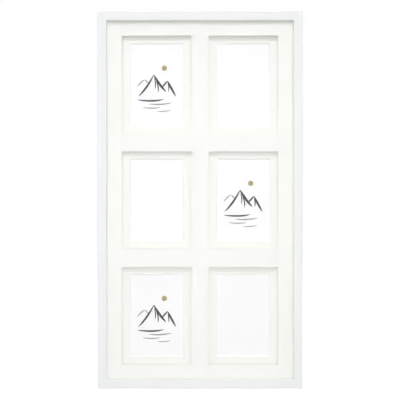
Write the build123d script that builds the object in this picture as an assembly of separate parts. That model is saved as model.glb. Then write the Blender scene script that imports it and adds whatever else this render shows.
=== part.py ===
"""Collage photo frame: a mitred moulding round two stacked mats that show six upright prints.

Millimetres. X runs to the right, Y away from the viewer to the wall, Z up. The origin lies on the wall plane,
midway between the round ends of the two keyholes.
"""

import os

from build123d import *

# Picture layout
COLUMNS = 2
ROWS = 3
WINDOW_WIDTH = 90.0
WINDOW_HEIGHT = 140.0
APERTURE_WIDTH = 120.0
APERTURE_HEIGHT = 168.0
COLUMN_BAR = 30.0
ROW_BAR = 32.0
SIDE_MARGIN = 25.5
END_MARGIN = 24.5

# Moulding section
FACE_WIDTH = 16.0
LIP_OVERLAP = 6.0
LIP_THICKNESS = 5.8
LIP_CHAMFER = 1.5
FRONT_ROUND = 1.0
BACK_ROUND = 0.5

# Layers from the lip to the rear recess
GLASS_THICKNESS = 1.2
MAT_THICKNESS = 2.0
SPACER_THICKNESS = 5.0
INSERT_THICKNESS = 0.3
FILLER_THICKNESS = 2.5
BOARD_THICKNESS = 3.0
RECESS_DEPTH = 6.2
PANEL_CLEARANCE = 1.0
SPACER_SETBACK = 0.5

# Corner nails, bent to a right angle
NAIL_GAUGE = 0.6
NAIL_WING = 6.0
NAIL_LENGTH = 10.0
NAIL_INSET = 3.5

# Rivets
RIVET_RADIUS = 2.0
RIVET_PLAY = 0.05
RIVET_HEAD_RADIUS = 3.5
RIVET_HEAD_HEIGHT = 1.1

# Turn clips
CLIP_SETBACK = 18.0
CLIP_REACH = 2.5
CLIP_WIDTH = 10.0
CLIP_GAUGE = 0.8
CLIP_LIFT = 0.2
CLIP_RISE = 1.5
CLIP_FLAT = 7.0
CLIP_RAMP = 4.0
CLIP_FROM_CORNER = 85.0
CLIP_HEAD_GAP = 0.1
GROOVE_CLEARANCE = 0.6
GROOVE_SPARE_DEPTH = 1.5

# Keyhole hanger plates
HANGER_DROP = 75.0
HANGER_INSET = 76.5
HANGER_GAUGE = 1.2
HANGER_CROWN = 30.0
HANGER_RAMP = 5.0
HANGER_FLANGE = 12.0
HANGER_ABOVE = 15.0
HANGER_BELOW = 9.0
HANGER_CORNER = 3.0
KEYHOLE_RADIUS = 4.5
KEYHOLE_SLOT = 4.5
KEYHOLE_RISE = 8.0

# Sizes in the plane of the wall
pitch_x = APERTURE_WIDTH + COLUMN_BAR
pitch_z = APERTURE_HEIGHT + ROW_BAR
sight_width = COLUMNS * pitch_x - COLUMN_BAR + 2 * SIDE_MARGIN
sight_height = ROWS * pitch_z - ROW_BAR + 2 * END_MARGIN
outer_width = sight_width + 2 * FACE_WIDTH
outer_height = sight_height + 2 * FACE_WIDTH
rebate_width = sight_width + 2 * LIP_OVERLAP
rebate_height = sight_height + 2 * LIP_OVERLAP
panel_width = rebate_width - 2 * PANEL_CLEARANCE
panel_height = rebate_height - 2 * PANEL_CLEARANCE
wall_width = FACE_WIDTH - LIP_OVERLAP
middle_z = HANGER_DROP - outer_height / 2
hanger_x = rebate_width / 2 - HANGER_INSET

# Front plane of each layer, counted forward from the wall
board_back = -RECESS_DEPTH
board_front = board_back - BOARD_THICKNESS
filler_front = board_front - FILLER_THICKNESS
insert_front = filler_front - INSERT_THICKNESS
inner_mat_front = insert_front - MAT_THICKNESS
spacer_front = inner_mat_front - SPACER_THICKNESS
outer_mat_front = spacer_front - MAT_THICKNESS
glass_front = outer_mat_front - GLASS_THICKNESS
face_front = glass_front - LIP_THICKNESS

# Clip levels, from the board outwards
clip_front = board_back + CLIP_LIFT
clip_back = clip_front + CLIP_GAUGE
groove_front = clip_front + CLIP_RISE - GROOVE_CLEARANCE
groove_back = clip_back + CLIP_RISE + GROOVE_CLEARANCE
groove_depth = CLIP_REACH + GROOVE_SPARE_DEPTH
clip_length = CLIP_SETBACK + CLIP_REACH

TOWARDS_WALL = (0, 1, 0)


def upright(y):
    """Plane that faces the viewer at depth y, centred on the frame."""
    return Plane(origin=(0, y, middle_z), x_dir=(1, 0, 0), z_dir=(0, -1, 0))


def layer(outline, front, thickness):
    """Sheet that runs from its front plane towards the wall."""
    return extrude(upright(front) * outline, amount=thickness, dir=TOWARDS_WALL)


def corner_of(sketch, x, y):
    """Vertex of a sketch nearest to a point."""
    return sketch.vertices().sort_by_distance((x, y, 0))[0]


def moulding_section():
    """Moulding cut across: first coordinate towards the wall, second outwards from the frame."""
    groove_floor = wall_width - groove_depth
    section = make_face(
        Polyline(
            (0, 0),
            (face_front, 0),
            (face_front, -FACE_WIDTH),
            (glass_front, -FACE_WIDTH),
            (glass_front, -wall_width),
            (groove_front, -wall_width),
            (groove_front, -groove_floor),
            (groove_back, -groove_floor),
            (groove_back, -wall_width),
            (0, -wall_width),
            close=True,
        )
    )
    section = fillet(corner_of(section, face_front, 0), FRONT_ROUND)
    section = fillet(corner_of(section, 0, 0), BACK_ROUND)
    return chamfer(corner_of(section, face_front, -FACE_WIDTH), LIP_CHAMFER)


def moulding_bar(length, across, turn):
    """One mitred bar, its outer face half of across from the middle, turned to its side of the frame."""
    bar = extrude(Plane.YZ * moulding_section(), amount=length / 2, both=True)
    for end in (-1, 1):
        mitre = Plane(origin=(end * length / 2, 0, 0), z_dir=(end, 0, -1))
        bar = split(bar, bisect_by=mitre, keep=Keep.BOTTOM)
    return Pos(0, 0, middle_z) * Rot(0, turn, 0) * Pos(0, 0, across / 2) * bar


def corner_nail(side, end):
    """Nail across one mitre, flush with the back of the moulding."""
    far_x = outer_width / 2 - NAIL_INSET + NAIL_GAUGE / 2
    far_z = outer_height / 2 - NAIL_INSET + NAIL_GAUGE / 2
    steps = (
        (0, 0),
        (0, NAIL_WING),
        (NAIL_GAUGE, NAIL_WING),
        (NAIL_GAUGE, NAIL_GAUGE),
        (NAIL_WING, NAIL_GAUGE),
        (NAIL_WING, 0),
    )
    points = [(side * (far_x - dx), end * (far_z - dz)) for dx, dz in steps]
    return layer(make_face(Polyline(*points, close=True)), -NAIL_LENGTH, NAIL_LENGTH)


def windows(width, height):
    """Outlines of one opening per print, on the grid of the collage."""
    return GridLocations(pitch_x, pitch_z, COLUMNS, ROWS) * Rectangle(width, height)


def panel(front, thickness):
    """Plain sheet that fills the rebate."""
    return layer(Rectangle(panel_width, panel_height), front, thickness)


def outer_mat():
    """Raised mat with square-cut apertures."""
    openings = windows(APERTURE_WIDTH, APERTURE_HEIGHT)
    return layer(Rectangle(panel_width, panel_height) - openings, outer_mat_front, MAT_THICKNESS)


def foam_spacer():
    """Lattice between the mats, set back so that the edge of the outer mat hides it."""
    openings = windows(APERTURE_WIDTH + 2 * SPACER_SETBACK, APERTURE_HEIGHT + 2 * SPACER_SETBACK)
    return layer(Rectangle(panel_width, panel_height) - openings, spacer_front, SPACER_THICKNESS)


def inner_mat():
    """Second mat, its windows cut at 45 degrees so that the core shows as a bevel."""
    mat = panel(inner_mat_front, MAT_THICKNESS)
    wide = Rectangle(WINDOW_WIDTH + 2 * MAT_THICKNESS, WINDOW_HEIGHT + 2 * MAT_THICKNESS)
    narrow = Rectangle(WINDOW_WIDTH, WINDOW_HEIGHT)
    for place in GridLocations(pitch_x, pitch_z, COLUMNS, ROWS):
        mat -= loft([upright(inner_mat_front) * place * wide, upright(insert_front) * place * narrow])
    return mat


def clip_places():
    """Name, X, Z from the middle, and turn of each clip."""
    side_x = rebate_width / 2 - CLIP_SETBACK
    end_z = rebate_height / 2 - CLIP_SETBACK
    corner_x = rebate_width / 2 - CLIP_FROM_CORNER
    corner_z = rebate_height / 2 - CLIP_FROM_CORNER
    places = []
    for hand, sign in (("left", -1), ("right", 1)):
        places.append((f"turn_clip_top_{hand}", sign * corner_x, end_z, 0))
        places.append((f"turn_clip_bottom_{hand}", sign * corner_x, -end_z, 180))
        for level, z in (("upper", corner_z), ("middle", 0), ("lower", -corner_z)):
            places.append((f"turn_clip_{hand}_{level}", sign * side_x, z, sign * 90))
    return places


def turn_clip():
    """Sprung strip about its rivet, pointing up: flat eye, ramp, and a tip that lies in the groove."""
    ramp_end = CLIP_FLAT + CLIP_RAMP
    side = make_face(
        Polyline(
            (clip_front, -CLIP_WIDTH),
            (clip_front, CLIP_FLAT),
            (clip_front + CLIP_RISE, ramp_end),
            (clip_front + CLIP_RISE, clip_length),
            (clip_back + CLIP_RISE, clip_length),
            (clip_back + CLIP_RISE, ramp_end),
            (clip_back, CLIP_FLAT),
            (clip_back, -CLIP_WIDTH),
            close=True,
        )
    )
    strip = extrude(Plane.YZ * side, amount=CLIP_WIDTH, both=True)
    body = Rectangle(CLIP_WIDTH, clip_length, align=(Align.CENTER, Align.MIN))
    plan = (Circle(CLIP_WIDTH / 2) + body) & Circle(clip_length)
    plan -= Circle(RIVET_RADIUS + RIVET_PLAY)
    return strip & extrude(Plane.XZ * plan, amount=RECESS_DEPTH, both=True)


def rivet(grip_back):
    """Rivet on the Y axis: shank set flush with the front of the board, and a domed head at grip_back."""
    crown = (0, grip_back + RIVET_HEAD_HEIGHT)
    rim = (RIVET_HEAD_RADIUS, grip_back)
    stem = Polyline(crown, (0, board_front), (RIVET_RADIUS, board_front), (RIVET_RADIUS, grip_back), rim)
    return revolve(make_face(stem + TangentArc(crown, rim, tangent=(1, 0))), axis=Axis.Y)


def hanger_rivet_places():
    """X and Z from the middle of the four hanger rivets."""
    reach = HANGER_CROWN / 2 + HANGER_RAMP + HANGER_FLANGE / 2
    height = -middle_z + (HANGER_ABOVE - HANGER_BELOW) / 2
    return [(side * hanger_x + end * reach, height) for side in (-1, 1) for end in (-1, 1)]


def back_board():
    """Board with a hole for each rivet."""
    outline = Rectangle(panel_width, panel_height)
    spots = [(x, z) for _, x, z, _ in clip_places()] + hanger_rivet_places()
    outline -= [Pos(x, z) * Circle(RIVET_RADIUS + RIVET_PLAY) for x, z in spots]
    return layer(outline, board_front, BOARD_THICKNESS)


def hanger():
    """Keyhole plate about its round hole: two flanges on the board and a crown level with the wall."""
    rise = RECESS_DEPTH - HANGER_GAUGE
    foot = HANGER_CROWN / 2 + HANGER_RAMP
    end = foot + HANGER_FLANGE
    spine = Polyline(
        (-end, board_back),
        (-foot, board_back),
        (-HANGER_CROWN / 2, board_back + rise),
        (HANGER_CROWN / 2, board_back + rise),
        (foot, board_back),
        (end, board_back),
    )
    strip = make_face(offset(spine, amount=HANGER_GAUGE, side=Side.LEFT, kind=Kind.INTERSECTION))
    plate = extrude(Pos(0, 0, -HANGER_BELOW) * strip, amount=HANGER_ABOVE + HANGER_BELOW, dir=(0, 0, 1))
    plate = fillet(plate.edges().filter_by(Axis.Y), HANGER_CORNER)
    slot = Pos(0, KEYHOLE_RISE / 2) * Rectangle(KEYHOLE_SLOT, KEYHOLE_RISE)
    keyhole = Circle(KEYHOLE_RADIUS) + slot + Pos(0, KEYHOLE_RISE) * Circle(KEYHOLE_SLOT / 2)
    plate -= extrude(Plane.XZ * keyhole, amount=RECESS_DEPTH, both=True)
    reach = foot + HANGER_FLANGE / 2
    hole = Pos(0, (HANGER_ABOVE - HANGER_BELOW) / 2) * Circle(RIVET_RADIUS + RIVET_PLAY)
    for side in (-1, 1):
        plate -= extrude(Plane.XZ * Pos(side * reach, 0) * hole, amount=RECESS_DEPTH, both=True)
    return plate


def build():
    """All the pieces by node name."""
    nails = [corner_nail(side, end) for side in (-1, 1) for end in (-1, 1)]
    bars = {
        "top_rail": moulding_bar(outer_width, outer_height, 0),
        "right_stile": moulding_bar(outer_height, outer_width, 90),
        "bottom_rail": moulding_bar(outer_width, outer_height, 180),
        "left_stile": moulding_bar(outer_height, outer_width, -90),
    }
    nodes = {name: bar - nails for name, bar in bars.items()}
    nodes["corner_v_nails"] = Compound(nails)
    nodes["glass_pane"] = panel(glass_front, GLASS_THICKNESS)
    nodes["outer_mat"] = outer_mat()
    nodes["foam_spacer"] = foam_spacer()
    nodes["inner_mat"] = inner_mat()
    nodes["insert_sheet"] = panel(insert_front, INSERT_THICKNESS)
    nodes["filler_card"] = panel(filler_front, FILLER_THICKNESS)
    nodes["back_board"] = back_board()
    clip, clip_rivet = turn_clip(), rivet(clip_back + CLIP_HEAD_GAP)
    clip_rivets = []
    for name, x, z, turn in clip_places():
        place = Pos(x, 0, middle_z + z)
        nodes[name] = place * Rot(0, turn, 0) * clip
        clip_rivets.append(place * clip_rivet)
    nodes["clip_rivets"] = Compound(clip_rivets)
    plate, plate_rivet = hanger(), rivet(board_back + HANGER_GAUGE)
    nodes["hanger_left"] = Pos(-hanger_x, 0, 0) * plate
    nodes["hanger_right"] = Pos(hanger_x, 0, 0) * plate
    nodes["hanger_rivets"] = Compound([Pos(x, 0, middle_z + z) * plate_rivet for x, z in hanger_rivet_places()])
    return nodes


os.makedirs("parts", exist_ok=True)
for node, shape in build().items():
    export_step(shape, f"parts/{node}.step")
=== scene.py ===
"""Looks of the collage photo frame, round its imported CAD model. Metres, in the CAD frame."""

import math

import bmesh
import bpy
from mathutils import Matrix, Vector


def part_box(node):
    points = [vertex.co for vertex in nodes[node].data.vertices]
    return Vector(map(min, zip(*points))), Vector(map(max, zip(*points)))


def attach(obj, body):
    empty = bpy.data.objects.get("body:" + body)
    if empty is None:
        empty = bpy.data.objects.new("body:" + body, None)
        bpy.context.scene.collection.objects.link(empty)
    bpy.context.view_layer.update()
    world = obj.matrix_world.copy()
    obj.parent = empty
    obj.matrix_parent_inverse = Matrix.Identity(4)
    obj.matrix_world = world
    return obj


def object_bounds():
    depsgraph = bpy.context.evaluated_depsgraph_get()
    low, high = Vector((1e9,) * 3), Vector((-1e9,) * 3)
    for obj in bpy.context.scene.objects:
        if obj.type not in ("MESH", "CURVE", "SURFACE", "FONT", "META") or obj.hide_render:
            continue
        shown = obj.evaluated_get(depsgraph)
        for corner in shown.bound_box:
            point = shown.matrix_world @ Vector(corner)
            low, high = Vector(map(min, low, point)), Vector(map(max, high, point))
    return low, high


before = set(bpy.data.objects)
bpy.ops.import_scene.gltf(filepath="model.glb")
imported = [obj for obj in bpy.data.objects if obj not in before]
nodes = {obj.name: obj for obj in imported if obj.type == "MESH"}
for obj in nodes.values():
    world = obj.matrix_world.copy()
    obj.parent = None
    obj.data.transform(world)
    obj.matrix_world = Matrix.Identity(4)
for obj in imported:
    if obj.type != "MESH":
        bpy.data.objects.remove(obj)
cad_low, cad_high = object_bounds()
middle = (cad_low + cad_high) / 2
face_middle = Vector((middle.x, cad_low.y, middle.z))

X_AXIS, Y_AXIS, Z_AXIS = range(3)
MM_PER_METRE = 1000

# Camera, read from the framing of the photograph
PHOTO_PIXELS = 400
PIXEL_SIZE = 0.00172
CAMERA_DISTANCE = 1.6
SENSOR_WIDTH = 36.0

# Lamps: place and aim from the middle of the face, width, height, power, spread in degrees
LAMPS = {
    "key": ((0.0, -1.50, 1.80), (0.0, 0.0, 0.25), 1.40, 0.14, 0.96, 34),
    "box": ((0.0, -1.75, 0.40), (0.0, 0.0, 0.05), 1.40, 1.40, 3.80, 180),
    "front": ((0.0, -1.70, -0.10), (0.0, 0.0, -0.40), 0.40, 0.40, 0.58, 60),
    "low": ((0.0, -1.20, -0.29), (0.0, 0.0, 0.10), 1.40, 0.06, 0.57, 90),
    "rear": ((-0.9, 1.6, 1.3), (0.0, 0.0, 0.0), 0.60, 0.60, 9.0, 180),
}
UNMIRRORED_LAMPS = ("front", "low")

# Surroundings: strength of the world as a light and as a background, and the floor
AMBIENT = 0.63
BACKGROUND = 1.0
FLOOR_RADIUS = 4.0
FLOOR_SIDES = 96
FLOOR_LIFT = 0.46
FLOOR_FLECKS = (300.0, 3.0)
FLOOR_RELIEF = 0.00002

# Colours
WHITE = (1.0, 1.0, 1.0, 1.0)
FLOOR_TONE = (0.88, 0.88, 0.88, 1.0)
FLOOR_BOUNCE = (0.55, 0.55, 0.55, 1.0)
PAINT = (0.845, 0.862, 0.855, 1.0)
PAINT_SHADE = (0.837, 0.854, 0.847, 1.0)
MITRE_LINE = (0.80, 0.81, 0.80, 1.0)
RAW_FIBRE = (0.56, 0.42, 0.28, 1.0)
RAW_FIBRE_DARK = (0.42, 0.30, 0.19, 1.0)
RAW_SEAM = (0.17, 0.115, 0.07, 1.0)
MAT_FACE = (0.966, 0.970, 0.936, 1.0)
MAT_FIBRE = (0.948, 0.953, 0.914, 1.0)
MAT_CORE = (0.995, 0.993, 0.98, 1.0)
PAPER = (0.98, 0.98, 0.98, 1.0)
PAPER_FIBRE = (0.965, 0.965, 0.965, 1.0)
# Spacer foam: a warm grey, darkened past its own colour to paint shade lines along the edges of the
# openings
FOAM_WITH_PAINTED_SHADE = (0.61, 0.575, 0.53, 1.0)
FOAM_CELL_WITH_PAINTED_SHADE = (0.51, 0.475, 0.43, 1.0)
CARD = (0.50, 0.36, 0.22, 1.0)
CARD_DARK = (0.40, 0.28, 0.16, 1.0)
BOARD = (0.42, 0.28, 0.165, 1.0)
BOARD_LIGHT = (0.52, 0.37, 0.235, 1.0)
BOARD_DARK = (0.27, 0.17, 0.095, 1.0)
ZINC = (0.43, 0.44, 0.45, 1.0)
ZINC_DARK = (0.34, 0.35, 0.36, 1.0)
NICKEL = (0.52, 0.51, 0.48, 1.0)
NICKEL_DARK = (0.43, 0.42, 0.39, 1.0)
NAIL = (0.42, 0.42, 0.43, 1.0)
NAIL_DARK = (0.30, 0.30, 0.31, 1.0)
GLASS_TINT = (0.9985, 0.9990, 0.9985, 1.0)
INK_DARK = (0.030, 0.030, 0.033, 1.0)
INK_DARK_DRY = (0.075, 0.075, 0.077, 1.0)
INK_LIGHT = (0.34, 0.34, 0.35, 1.0)
INK_LIGHT_DRY = (0.45, 0.45, 0.46, 1.0)
INK_GOLD = (0.37, 0.30, 0.13, 1.0)
INK_GOLD_DRY = (0.46, 0.39, 0.20, 1.0)

# In the groups below, a noise is its scale, detail and roughness, and a relief is its depth.
# Felted fibres: how far they are drawn out, and their detail
FIBRE_DRAW = 0.25
FIBRE_DETAIL = 3.0

# Moulding: the bars as the axis along, the axis across, the outer edge and the way inward
MOULDING = {
    "top_rail": (X_AXIS, Z_AXIS, cad_high.z, -1),
    "bottom_rail": (X_AXIS, Z_AXIS, cad_low.z, 1),
    "left_stile": (Z_AXIS, X_AXIS, cad_low.x, 1),
    "right_stile": (Z_AXIS, X_AXIS, cad_high.x, -1),
}
WALL_WIDTH = 0.010
LACQUER_ROUGHNESS = 0.4
PAINT_ROUGHNESS = (0.34, 0.44)
PAINT_CLOUD = (14.0, 3.0)
PAINT_GRAIN = (700.0, 4.0)
PAINT_GRAIN_DRAW = 0.03
PAINT_GRAIN_RELIEF = 0.000006
PAINT_PEEL = (1300.0, 2.0)
PAINT_PEEL_RELIEF = 0.000006
MITRE_FADE = (0.00022, 0.00006)
MITRE_SHARE = 0.5
MITRE_RELIEF = -0.00003
RAW_ROUGHNESS = 0.85
RAW_FIBRE_SCALE = 1800.0
RAW_FIBRE_RELIEF = 0.00006
SEAM_WIDTH = 0.0005

# Ragged edge of the paint on the back, and how near a face counts as the back or the rebate
PAINT_OVERLAP = 0.0012
OVERLAP_FADE = 0.0009
OVERLAP_WANDER = 0.0012
OVERLAP_NOISE = (260.0, 3.0)
BACK_SKIN = 0.0003
REBATE_SKIN = 0.0001

# Mat board, whose core shows where a face turns from the front
MAT_ROUGHNESS = (0.82, 0.95)
MAT_CLOUD = (25.0, 3.0)
MAT_FLECKS = (1600.0, 4.0, 0.65)
MAT_FLECK_RELIEF = 0.000012
MAT_CUT_FADE = (0.95, 0.85)
MAT_PLIES = (3000.0, 1.0)
MAT_PLY_DRAW = (0.02, 1.0, 0.02)
MAT_PLY_RELIEF = 0.00003

# Print paper
PAPER_ROUGHNESS = (0.5, 0.6)
PAPER_SHEEN_SCALE = 60.0
PAPER_FLECKS = (2200.0, 3.0)
PAPER_RELIEF = 0.000003

# Foam
FOAM_ROUGHNESS = (0.75, 0.9)
FOAM_CELL_SCALE = 2200.0
FOAM_RELIEF = 0.0001

# Corrugated card
CARD_ROUGHNESS = (0.8, 0.95)
CARD_FLUTE_SCALE = 45.0
CARD_FLUTE_RELIEF = 0.0001
CARD_FIBRE_SCALE = 1500.0
CARD_FIBRE_RELIEF = 0.00002

# Fibre board
BOARD_ROUGHNESS = (0.5, 0.7)
BOARD_CLOUD = (18.0, 4.0, 0.6)
BOARD_CLOUD_FADE = (0.35, 0.75)
BOARD_CLOUD_SHARE = 0.35
BOARD_CHIPS = (420.0, 5.0, 0.7)
BOARD_CHIP_DRAW = (1.0, 1.0, 0.4)
BOARD_CHIP_FADE = (0.56, 0.72)
BOARD_CHIP_SHARE = 0.75
BOARD_CHIP_RELIEF = 0.00002
BOARD_FIBRE_SCALE = 900.0
BOARD_FIBRE_RELIEF = 0.00003

# Plated steels: colour, dark colour, roughness and the way the streaks are drawn out
STEELS = {
    "nail_steel": (NAIL, NAIL_DARK, 0.45, (1.0, 0.1, 1.0)),
    "rivet_steel": (NICKEL, NICKEL_DARK, 0.25, (1.0, 1.0, 1.0)),
    "hanger_steel": (NICKEL, NICKEL_DARK, 0.32, (0.05, 1.0, 1.0)),
    "clip_steel_upright": (ZINC, ZINC_DARK, 0.34, (1.0, 1.0, 0.05)),
    "clip_steel_level": (ZINC, ZINC_DARK, 0.34, (0.05, 1.0, 1.0)),
}
STEEL_STREAKS = (1400.0, 4.0, 0.6)
STEEL_STREAK_RELIEF = 0.000004
STEEL_SPANGLE = (320.0, 3.0)
STEEL_SPANGLE_RELIEF = 0.00001
STEEL_TONE_FADE = (0.12, 0.42)
STEEL_SMOOTHER = 0.1
STEEL_ROUGHER = 0.12

# Glass: share of light that each face mirrors, head on and at a slant, and the smears on it
GLASS_MIRROR = 0.008
GLASS_MIRROR_SLANT = 0.7
GLASS_SLANT_BLEND = 0.5
GLASS_SLANT_POWER = 5.0
GLASS_ROUGHNESS = (0.01, 0.05)
GLASS_SMEARS = (22.0, 4.0)

# Ink
INKS = {
    "ink_dark": (INK_DARK, INK_DARK_DRY),
    "ink_light": (INK_LIGHT, INK_LIGHT_DRY),
    "ink_gold": (INK_GOLD, INK_GOLD_DRY),
}
DARK_INK, LIGHT_INK, GOLD_INK = range(len(INKS))
INK_ROUGHNESS = (0.5, 0.7)
INK_BRISTLES = (1800.0, 3.0)
INK_BRISTLE_DRAW = (0.5, 1.0, 0.2)
INK_DRY_FADE = (0.35, 0.75)
INK_RELIEF = 0.000004

# Printed windows, as steps of column and row from the middle
WINDOW_PITCH = (0.150, 0.200)
PRINTED_WINDOWS = ((-0.5, 1), (0.5, 0), (-0.5, -1))

# Print: strokes as start, bend, end and width in millimetres from the middle of a window
INK_DEPTH = 0.00003
INK_STEP = 0.000004
STROKE_STEPS = 24
STROKE_TIP = 0.0004
BRUSH_TAPER = 0.6
DISC_TAPER = 0.5
DARK_STROKES = (
    ((-32, -20), (-17, -6), (-5, 18), 3.4),
    ((-5.5, 18), (4, 0), (16, -12), 4.2),
    ((8, -6), (14, 2), (19, 7), 2.8),
    ((18.5, 7), (25, -6), (33, -20), 3.7),
    ((-4.5, 12), (-1, 3), (-3, -7), 2.0),
    ((-1, 6), (4, -3), (2, -13), 2.2),
    ((19, 3), (22, -5), (20, -12), 1.9),
    ((-34, -26), (-6, -30), (12, -25), 3.0),
)
LIGHT_STROKES = (
    ((-34, -3), (-27, 6), (-21, 9), 2.4),
    ((-21, 9), (-17, 6), (-14, 1), 2.1),
    ((-14, -33), (4, -36), (26, -31), 2.6),
    ((-25, -39), (-9, -42), (6, -39), 2.1),
    ((0, -46), (12, -47), (24, -44), 1.8),
)
GOLD_DISC = ((13, 29), 9.0)

# Numbers of a mix node's sockets
MIX_FACTOR = 0
MIX_VALUES = (2, 3)
MIX_COLOURS = (6, 7)
MIXED_VALUE = 0
MIXED_COLOUR = 2


def add(tree, kind, inputs=None, **settings):
    """New shader node. An input that is given a socket is linked to it."""
    made = tree.nodes.new(kind)
    for name, value in settings.items():
        setattr(made, name, value)
    for name, value in (inputs or {}).items():
        if isinstance(value, bpy.types.NodeSocket):
            tree.links.new(value, made.inputs[name])
        else:
            made.inputs[name].default_value = value
    return made


def sums(tree, operation, first, second=0.0):
    """Result of one math step."""
    return add(tree, "ShaderNodeMath", {0: first, 1: second}, operation=operation).outputs[0]


def average(tree, first, second):
    """Half of the sum of two values."""
    return sums(tree, "MULTIPLY", sums(tree, "ADD", first, second), 0.5)


def fade(tree, value, start, end):
    """0 at start and 1 at end, smooth between."""
    limits = {"Value": value, "From Min": start, "From Max": end}
    return add(tree, "ShaderNodeMapRange", limits, interpolation_type="SMOOTHSTEP").outputs[0]


def span(tree, value, low, high):
    """Value from 0 to 1 spread from low to high."""
    return add(tree, "ShaderNodeMapRange", {"Value": value, "To Min": low, "To Max": high}).outputs[0]


def mix(tree, factor, first, second):
    """Value between two values."""
    inputs = {MIX_FACTOR: factor, MIX_VALUES[0]: first, MIX_VALUES[1]: second}
    return add(tree, "ShaderNodeMix", inputs).outputs[MIXED_VALUE]


def blend(tree, factor, first, second):
    """Colour between two colours."""
    inputs = {MIX_FACTOR: factor, MIX_COLOURS[0]: first, MIX_COLOURS[1]: second}
    return add(tree, "ShaderNodeMix", inputs, data_type="RGBA").outputs[MIXED_COLOUR]


def place(tree):
    """Position on the object, which moves with it."""
    return add(tree, "ShaderNodeTexCoord").outputs["Object"]


def parts(tree, vector):
    """The three parts of a vector."""
    return add(tree, "ShaderNodeSeparateXYZ", {0: vector}).outputs


def stretch(tree, vector, factors):
    """Position scaled along each axis, which draws a texture out."""
    return add(tree, "ShaderNodeVectorMath", {0: vector, 1: factors}, operation="MULTIPLY").outputs[0]


def noise(tree, vector, scale, detail=2.0, roughness=0.5):
    """Noise from 0 to 1, its grains about 1 / scale metres across."""
    values = {"Vector": vector, "Scale": scale, "Detail": detail, "Roughness": roughness}
    return add(tree, "ShaderNodeTexNoise", values).outputs["Fac"]


def relief(tree, height, depth, normal=None):
    """Bump of the given depth in metres, over an earlier bump."""
    values = {"Height": height, "Distance": depth, "Strength": 1.0}
    if normal:
        values["Normal"] = normal
    return add(tree, "ShaderNodeBump", values).outputs[0]


def new_material(name):
    """Empty material and its node tree."""
    material = bpy.data.materials.new(name)
    material.use_nodes = True
    material.node_tree.nodes.clear()
    return material, material.node_tree


def finish_surface(tree, **values):
    """Principled surface with the given inputs, which are named in lower case."""
    names = {name.replace("_", " ").title(): value for name, value in values.items()}
    shader = add(tree, "ShaderNodeBsdfPrincipled", names)
    add(tree, "ShaderNodeOutputMaterial", {"Surface": shader.outputs[0]})


def fibres(tree, where, scale):
    """Felted fibres: two noises drawn out in crossing directions."""
    one = noise(tree, stretch(tree, where, (FIBRE_DRAW, 1.0, 1.0)), scale, FIBRE_DETAIL)
    two = noise(tree, stretch(tree, where, (1.0, 1.0, FIBRE_DRAW)), scale, FIBRE_DETAIL)
    return average(tree, one, two)


def moulding_paint(name, along, across, edge, inward):
    """Satin white paint on one bar, with raw fibre board on its back and in its rebate."""
    material, tree = new_material(name)
    where = place(tree)
    axes = parts(tree, where)
    low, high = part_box(name)
    depth = axes[Y_AXIS]
    inside = sums(tree, "MULTIPLY", sums(tree, "SUBTRACT", axes[across], edge), inward)
    centre = (low[along] + high[along]) / 2
    off_centre = sums(tree, "ABSOLUTE", sums(tree, "SUBTRACT", axes[along], centre))
    from_end = sums(tree, "SUBTRACT", (high[along] - low[along]) / 2, off_centre)
    off_mitre = sums(tree, "ABSOLUTE", sums(tree, "SUBTRACT", from_end, inside))
    drawn = [1.0, 1.0, 1.0]
    drawn[along] = PAINT_GRAIN_DRAW

    grain = noise(tree, stretch(tree, where, drawn), *PAINT_GRAIN)
    peel = noise(tree, where, *PAINT_PEEL)
    cloud = noise(tree, where, *PAINT_CLOUD)
    joint = fade(tree, off_mitre, *MITRE_FADE)
    paint = blend(tree, cloud, PAINT, PAINT_SHADE)
    paint = blend(tree, sums(tree, "MULTIPLY", joint, MITRE_SHARE), paint, MITRE_LINE)

    fuzz = fibres(tree, where, RAW_FIBRE_SCALE)
    raw = blend(tree, fuzz, RAW_FIBRE_DARK, RAW_FIBRE)
    raw = blend(tree, fade(tree, off_mitre, SEAM_WIDTH, SEAM_WIDTH / 2), raw, RAW_SEAM)
    wander = sums(tree, "MULTIPLY", noise(tree, where, *OVERLAP_NOISE), OVERLAP_WANDER)
    from_edge = sums(tree, "SUBTRACT", inside, wander)
    unpainted = fade(tree, from_edge, PAINT_OVERLAP, PAINT_OVERLAP + OVERLAP_FADE)
    on_back = sums(tree, "GREATER_THAN", depth, cad_high.y - BACK_SKIN)
    on_back = sums(tree, "MULTIPLY", unpainted, on_back)
    in_rebate = sums(tree, "GREATER_THAN", depth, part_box("glass_pane")[0].y + REBATE_SKIN)
    in_rebate = sums(tree, "MULTIPLY", in_rebate, sums(tree, "GREATER_THAN", inside, WALL_WIDTH / 2))
    bare = sums(tree, "MAXIMUM", on_back, in_rebate)

    rough = mix(tree, bare, span(tree, cloud, *PAINT_ROUGHNESS), RAW_ROUGHNESS)
    normal = relief(tree, grain, PAINT_GRAIN_RELIEF)
    normal = relief(tree, peel, PAINT_PEEL_RELIEF, normal)
    normal = relief(tree, joint, MITRE_RELIEF, normal)
    normal = relief(tree, sums(tree, "MULTIPLY", fuzz, bare), RAW_FIBRE_RELIEF, normal)
    colour = blend(tree, bare, paint, raw)
    lacquer = sums(tree, "SUBTRACT", 1.0, bare)
    coat = {"coat_weight": lacquer, "coat_roughness": LACQUER_ROUGHNESS, "coat_normal": normal}
    finish_surface(tree, base_color=colour, roughness=rough, normal=normal, **coat)
    return material


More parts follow.
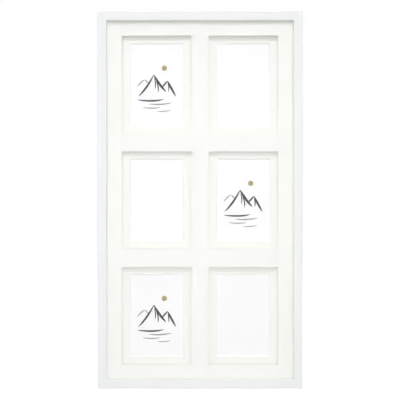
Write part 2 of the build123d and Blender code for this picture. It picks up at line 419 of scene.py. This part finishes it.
def mat_board():
    """Uncoated mat board: fibred face paper, and a paler core in plies where it is cut."""
    material, tree = new_material("mat_board")
    where = place(tree)
    flecks = noise(tree, where, *MAT_FLECKS)
    cloud = noise(tree, where, *MAT_CLOUD)
    face = blend(tree, average(tree, flecks, cloud), MAT_FACE, MAT_FIBRE)
    facing = parts(tree, add(tree, "ShaderNodeNewGeometry").outputs["True Normal"])
    cut = fade(tree, sums(tree, "ABSOLUTE", facing[Y_AXIS]), *MAT_CUT_FADE)
    plies = noise(tree, stretch(tree, where, MAT_PLY_DRAW), *MAT_PLIES)
    normal = relief(tree, flecks, MAT_FLECK_RELIEF)
    normal = relief(tree, sums(tree, "MULTIPLY", plies, cut), MAT_PLY_RELIEF, normal)
    colour = blend(tree, cut, face, MAT_CORE)
    rough = span(tree, flecks, *MAT_ROUGHNESS)
    finish_surface(tree, base_color=colour, roughness=rough, normal=normal)
    return material


def insert_paper():
    """Smooth print paper with faint fibres and a slight sheen."""
    material, tree = new_material("insert_paper")
    where = place(tree)
    flecks = noise(tree, where, *PAPER_FLECKS)
    colour = blend(tree, flecks, PAPER, PAPER_FIBRE)
    rough = span(tree, noise(tree, where, PAPER_SHEEN_SCALE), *PAPER_ROUGHNESS)
    normal = relief(tree, flecks, PAPER_RELIEF)
    finish_surface(tree, base_color=colour, roughness=rough, normal=normal)
    return material


def foam_board_with_painted_shade():
    """Closed-cell foam, its own warm grey darkened further to paint shade along the edges of the
    openings.
    """
    material, tree = new_material("foam_board_with_painted_shade")
    inputs = {"Vector": place(tree), "Scale": FOAM_CELL_SCALE}
    cells = add(tree, "ShaderNodeTexVoronoi", inputs).outputs["Distance"]
    # Painted shade: the darkened foam colour draws the dark lines at the sides and feet of the
    # openings
    colour = blend(tree, cells, FOAM_CELL_WITH_PAINTED_SHADE, FOAM_WITH_PAINTED_SHADE)
    rough = span(tree, cells, *FOAM_ROUGHNESS)
    normal = relief(tree, cells, FOAM_RELIEF)
    finish_surface(tree, base_color=colour, roughness=rough, normal=normal)
    return material


def corrugated_card():
    """Brown card whose flutes show faintly through the liner."""
    material, tree = new_material("corrugated_card")
    where = place(tree)
    inputs = {"Vector": where, "Scale": CARD_FLUTE_SCALE}
    flutes = add(tree, "ShaderNodeTexWave", inputs, bands_direction="X").outputs["Fac"]
    fuzz = fibres(tree, where, CARD_FIBRE_SCALE)
    colour = blend(tree, average(tree, flutes, fuzz), CARD_DARK, CARD)
    rough = span(tree, fuzz, *CARD_ROUGHNESS)
    normal = relief(tree, fuzz, CARD_FIBRE_RELIEF, relief(tree, flutes, CARD_FLUTE_RELIEF))
    finish_surface(tree, base_color=colour, roughness=rough, normal=normal)
    return material


def fibre_board():
    """Brown hardboard: felted fibres, dark chips and a slightly burnished face."""
    material, tree = new_material("fibre_board")
    where = place(tree)
    cloud = noise(tree, where, *BOARD_CLOUD)
    fuzz = fibres(tree, where, BOARD_FIBRE_SCALE)
    chips = noise(tree, stretch(tree, where, BOARD_CHIP_DRAW), *BOARD_CHIPS)
    chipped = sums(tree, "MULTIPLY", fade(tree, chips, *BOARD_CHIP_FADE), BOARD_CHIP_SHARE)
    clouded = sums(tree, "MULTIPLY", fade(tree, cloud, *BOARD_CLOUD_FADE), BOARD_CLOUD_SHARE)
    colour = blend(tree, fuzz, BOARD, BOARD_LIGHT)
    colour = blend(tree, chipped, colour, BOARD_DARK)
    colour = blend(tree, clouded, colour, BOARD_DARK)
    rough = span(tree, cloud, *BOARD_ROUGHNESS)
    normal = relief(tree, fuzz, BOARD_FIBRE_RELIEF, relief(tree, chips, BOARD_CHIP_RELIEF))
    finish_surface(tree, base_color=colour, roughness=rough, normal=normal)
    return material


def plated_steel(name, colour, dark, rough, drawn):
    """Plated sheet steel, streaked along the way it was rolled and slightly mottled."""
    material, tree = new_material(name)
    where = place(tree)
    streaks = noise(tree, stretch(tree, where, drawn), *STEEL_STREAKS)
    spangle = noise(tree, where, *STEEL_SPANGLE)
    clean = fade(tree, sums(tree, "MULTIPLY", streaks, spangle), *STEEL_TONE_FADE)
    tone = blend(tree, clean, dark, colour)
    gloss = span(tree, average(tree, streaks, spangle), rough - STEEL_SMOOTHER, rough + STEEL_ROUGHER)
    normal = relief(tree, streaks, STEEL_STREAK_RELIEF, relief(tree, spangle, STEEL_SPANGLE_RELIEF))
    finish_surface(tree, base_color=tone, metallic=1.0, roughness=gloss, normal=normal)
    return material


def clear_glass():
    """Thin clear pane: it lets light straight through and mirrors more at a slant."""
    material, tree = new_material("clear_glass")
    smears = noise(tree, place(tree), *GLASS_SMEARS)
    mirror = add(tree, "ShaderNodeBsdfGlossy", {"Roughness": span(tree, smears, *GLASS_ROUGHNESS)})
    through = add(tree, "ShaderNodeBsdfTransparent", {"Color": GLASS_TINT})
    facing = add(tree, "ShaderNodeLayerWeight", {"Blend": GLASS_SLANT_BLEND}).outputs["Facing"]
    slant = sums(tree, "POWER", facing, GLASS_SLANT_POWER)
    share = span(tree, slant, GLASS_MIRROR, GLASS_MIRROR_SLANT)
    both = add(tree, "ShaderNodeMixShader", {0: share, 1: through.outputs[0], 2: mirror.outputs[0]})
    add(tree, "ShaderNodeOutputMaterial", {"Surface": both.outputs[0]})
    return material


def ink(name, wet, dry):
    """Brushed ink that runs dry in streaks."""
    material, tree = new_material(name)
    bristles = noise(tree, stretch(tree, place(tree), INK_BRISTLE_DRAW), *INK_BRISTLES)
    colour = blend(tree, fade(tree, bristles, *INK_DRY_FADE), wet, dry)
    rough = span(tree, bristles, *INK_ROUGHNESS)
    normal = relief(tree, bristles, INK_RELIEF)
    finish_surface(tree, base_color=colour, roughness=rough, normal=normal)
    return material


def dress(names, material):
    """Puts a material on CAD nodes."""
    for name in names:
        for slot in nodes[name].material_slots:
            slot.material = material


def dress_nodes():
    """Finish of every CAD node."""
    for name, bar in MOULDING.items():
        dress([name], moulding_paint(name, *bar))
    dress(["outer_mat", "inner_mat"], mat_board())
    dress(["insert_sheet"], insert_paper())
    dress(["foam_spacer"], foam_board_with_painted_shade())
    dress(["filler_card"], corrugated_card())
    dress(["back_board"], fibre_board())
    dress(["glass_pane"], clear_glass())
    steels = {name: plated_steel(name, *look) for name, look in STEELS.items()}
    dress(["corner_v_nails"], steels["nail_steel"])
    dress(["clip_rivets", "hanger_rivets"], steels["rivet_steel"])
    dress(["hanger_left", "hanger_right"], steels["hanger_steel"])
    for name in nodes:
        if name.startswith("turn_clip"):
            upright = "_top_" in name or "_bottom_" in name
            dress([name], steels["clip_steel_upright" if upright else "clip_steel_level"])


def stroke_rings(start, bend, end, width, taper):
    """Pairs of points on the two edges of a brush stroke, in millimetres."""
    start, bend, end = Vector(start), Vector(bend), Vector(end)
    rings = []
    for step in range(STROKE_STEPS + 1):
        t = (1 - math.cos(math.pi * step / STROKE_STEPS)) / 2
        point = start * (1 - t) ** 2 + bend * (2 * t * (1 - t)) + end * t ** 2
        run = (bend - start) * (1 - t) + (end - bend) * t
        side = Vector((-run.y, run.x)).normalized()
        half = width / 2 * max(4 * t * (1 - t), STROKE_TIP) ** taper
        rings.append((point + side * half, point - side * half))
    return rings


def add_film(mesh, rings, height, tone):
    """Closed thin film of ink between the edges of a stroke, standing on the paper."""
    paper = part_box("insert_sheet")[0].y
    loops = []
    for left, right in rings:
        corners = ((left, height), (right, height), (right, 0.0), (left, 0.0))
        spots = [(p.x / MM_PER_METRE, paper - lift, p.y / MM_PER_METRE) for p, lift in corners]
        loops.append([mesh.verts.new(spot) for spot in spots])
    faces = [mesh.faces.new(loops[0]), mesh.faces.new(loops[-1])]
    for near, far in zip(loops, loops[1:]):
        for i in range(len(near)):
            j = (i + 1) % len(near)
            faces.append(mesh.faces.new((near[i], near[j], far[j], far[i])))
    for face in faces:
        face.material_index = tone


def print_mesh():
    """Ink of one printed window: hills over water under a low sun."""
    mesh = bmesh.new()
    (sun_x, sun_z), sun_width = GOLD_DISC
    half = sun_width / 2
    strokes = [(*stroke, BRUSH_TAPER, LIGHT_INK) for stroke in LIGHT_STROKES]
    strokes += [(*stroke, BRUSH_TAPER, DARK_INK) for stroke in DARK_STROKES]
    sun = ((sun_x - half, sun_z), (sun_x, sun_z), (sun_x + half, sun_z), sun_width)
    strokes.append((*sun, DISC_TAPER, GOLD_INK))
    for order, (*stroke, tone) in enumerate(strokes):
        add_film(mesh, stroke_rings(*stroke), INK_DEPTH + order * INK_STEP, tone)
    bmesh.ops.recalc_face_normals(mesh, faces=mesh.faces)
    data = bpy.data.meshes.new("print")
    mesh.to_mesh(data)
    mesh.free()
    for name, tones in INKS.items():
        data.materials.append(ink(name, *tones))
    return data


def add_prints():
    """The three printed windows."""
    data = print_mesh()
    for count, (column, row) in enumerate(PRINTED_WINDOWS):
        piece = bpy.data.objects.new(f"print_{count + 1}", data)
        piece.location = (column * WINDOW_PITCH[0], 0.0, middle.z + row * WINDOW_PITCH[1])
        bpy.context.scene.collection.objects.link(piece)
        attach(piece, "frame")


def add_camera():
    """Camera straight before the middle of the face."""
    data = bpy.data.cameras.new("camera")
    data.sensor_width = SENSOR_WIDTH
    data.lens = SENSOR_WIDTH * CAMERA_DISTANCE / (PHOTO_PIXELS * PIXEL_SIZE)
    camera = bpy.data.objects.new("camera", data)
    camera.location = face_middle + Vector((0.0, -CAMERA_DISTANCE, 0.0))
    camera.rotation_euler = (math.pi / 2, 0.0, 0.0)
    bpy.context.scene.collection.objects.link(camera)
    bpy.context.scene.camera = camera


def add_lamp(name, spot, aim, width, height, power, spread):
    """Soft box, hidden from the camera and, where its name is listed, from mirrored rays."""
    data = bpy.data.lights.new(f"{name}_lamp", "AREA")
    data.shape = "RECTANGLE"
    data.size = width
    data.size_y = height
    data.energy = power
    data.spread = math.radians(spread)
    lamp = bpy.data.objects.new(f"{name}_lamp", data)
    lamp.location = face_middle + Vector(spot)
    lamp.rotation_euler = (Vector(aim) - Vector(spot)).to_track_quat("-Z", "Y").to_euler()
    lamp.visible_camera = False
    lamp.visible_glossy = name not in UNMIRRORED_LAMPS
    bpy.context.scene.collection.objects.link(lamp)


def shows_background(tree):
    """1 for the rays that show the background: camera, glossy and transmission rays."""
    path = add(tree, "ShaderNodeLightPath").outputs
    seen = sums(tree, "MAXIMUM", path["Is Camera Ray"], path["Is Glossy Ray"])
    return sums(tree, "MAXIMUM", seen, path["Is Transmission Ray"])


def add_world():
    """White surroundings that light the object softly."""
    world = bpy.data.worlds.new("studio")
    world.use_nodes = True
    tree = world.node_tree
    tree.nodes.clear()
    strength = span(tree, shows_background(tree), AMBIENT, BACKGROUND)
    background = add(tree, "ShaderNodeBackground", {"Color": WHITE, "Strength": strength})
    add(tree, "ShaderNodeOutputWorld", {"Surface": background.outputs[0]})
    bpy.context.scene.world = world


def floor_finish():
    """Pale matt floor that runs out to white and keeps the shadow."""
    material, tree = new_material("floor")
    flecks = noise(tree, place(tree), *FLOOR_FLECKS)
    shown = shows_background(tree)
    tone = blend(tree, shown, FLOOR_BOUNCE, FLOOR_TONE)
    normal = relief(tree, flecks, FLOOR_RELIEF)
    matt = add(tree, "ShaderNodeBsdfDiffuse", {"Color": tone, "Normal": normal})
    lift = sums(tree, "MULTIPLY", shown, FLOOR_LIFT)
    glow = add(tree, "ShaderNodeEmission", {"Color": WHITE, "Strength": lift})
    both = add(tree, "ShaderNodeAddShader", {0: matt.outputs[0], 1: glow.outputs[0]})
    add(tree, "ShaderNodeOutputMaterial", {"Surface": both.outputs[0]})
    return material


def add_floor():
    """Floor under the lower edge."""
    mesh = bmesh.new()
    bmesh.ops.create_circle(mesh, cap_ends=True, radius=FLOOR_RADIUS, segments=FLOOR_SIDES)
    data = bpy.data.meshes.new("floor")
    mesh.to_mesh(data)
    mesh.free()
    data.materials.append(floor_finish())
    floor = bpy.data.objects.new("floor", data)
    floor.location = (middle.x, middle.y, cad_low.z)
    bpy.context.scene.collection.objects.link(floor)


bpy.context.scene.view_settings.view_transform = "Standard"
add_camera()
dress_nodes()
add_prints()
for name, lamp in LAMPS.items():
    add_lamp(name, *lamp)
add_world()
add_floor()
